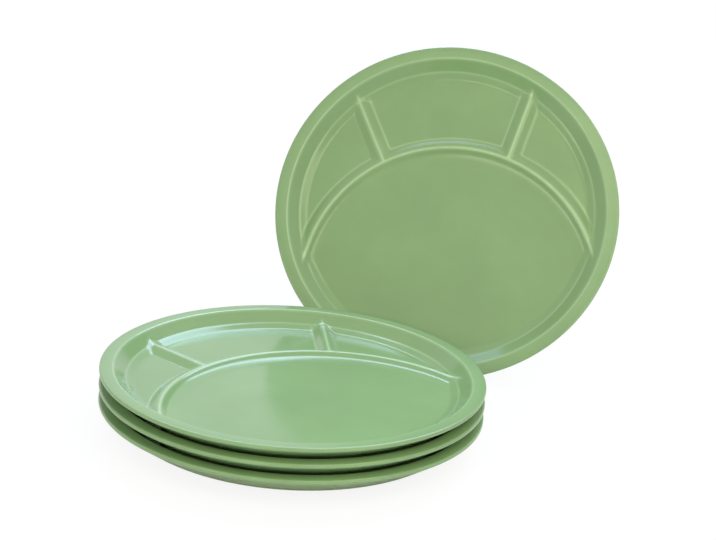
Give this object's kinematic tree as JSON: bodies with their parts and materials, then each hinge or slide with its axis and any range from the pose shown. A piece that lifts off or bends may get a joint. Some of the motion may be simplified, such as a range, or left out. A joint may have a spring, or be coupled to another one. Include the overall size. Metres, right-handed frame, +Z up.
{
  "type": "divided fondue plate set",
  "caption": "Set of round divided fondue plates in glossy sage green, stacked with one standing behind, each with a main well and smaller sauce wells.",
  "frame": {"origin": "middle of the whole set's box, on the table", "axes": "+Z up; seen from -Y the stack is in front on the left and the standing plate behind on the right"},
  "size_m": [0.3254, 0.3726, 0.2146],
  "materials": {
    "green_melamine": "glossy, even sage green melamine"
  },
  "bodies": {
    "bottom_plate": {"bottom_plate": "green_melamine"},
    "middle_plate": {"middle_plate": "green_melamine"},
    "top_plate": {"top_plate": "green_melamine"},
    "standing_plate": {"standing_plate": "green_melamine"}
  },
  "joints": [
    {"name": "middle_lift", "type": "slide", "parent": "bottom_plate", "child": "middle_plate", "axis": [0, 0, 1], "range_m": [0, 0.06]},
    {"name": "top_lift", "type": "slide", "parent": "middle_plate", "child": "top_plate", "axis": [0, 0, 1], "range_m": [0, 0.06]},
    {"name": "standing_lift", "type": "slide", "parent": "bottom_plate", "child": "standing_plate", "axis": [0, 0.518, 0.8554], "range_m": [0, 0.06]}
  ]
}
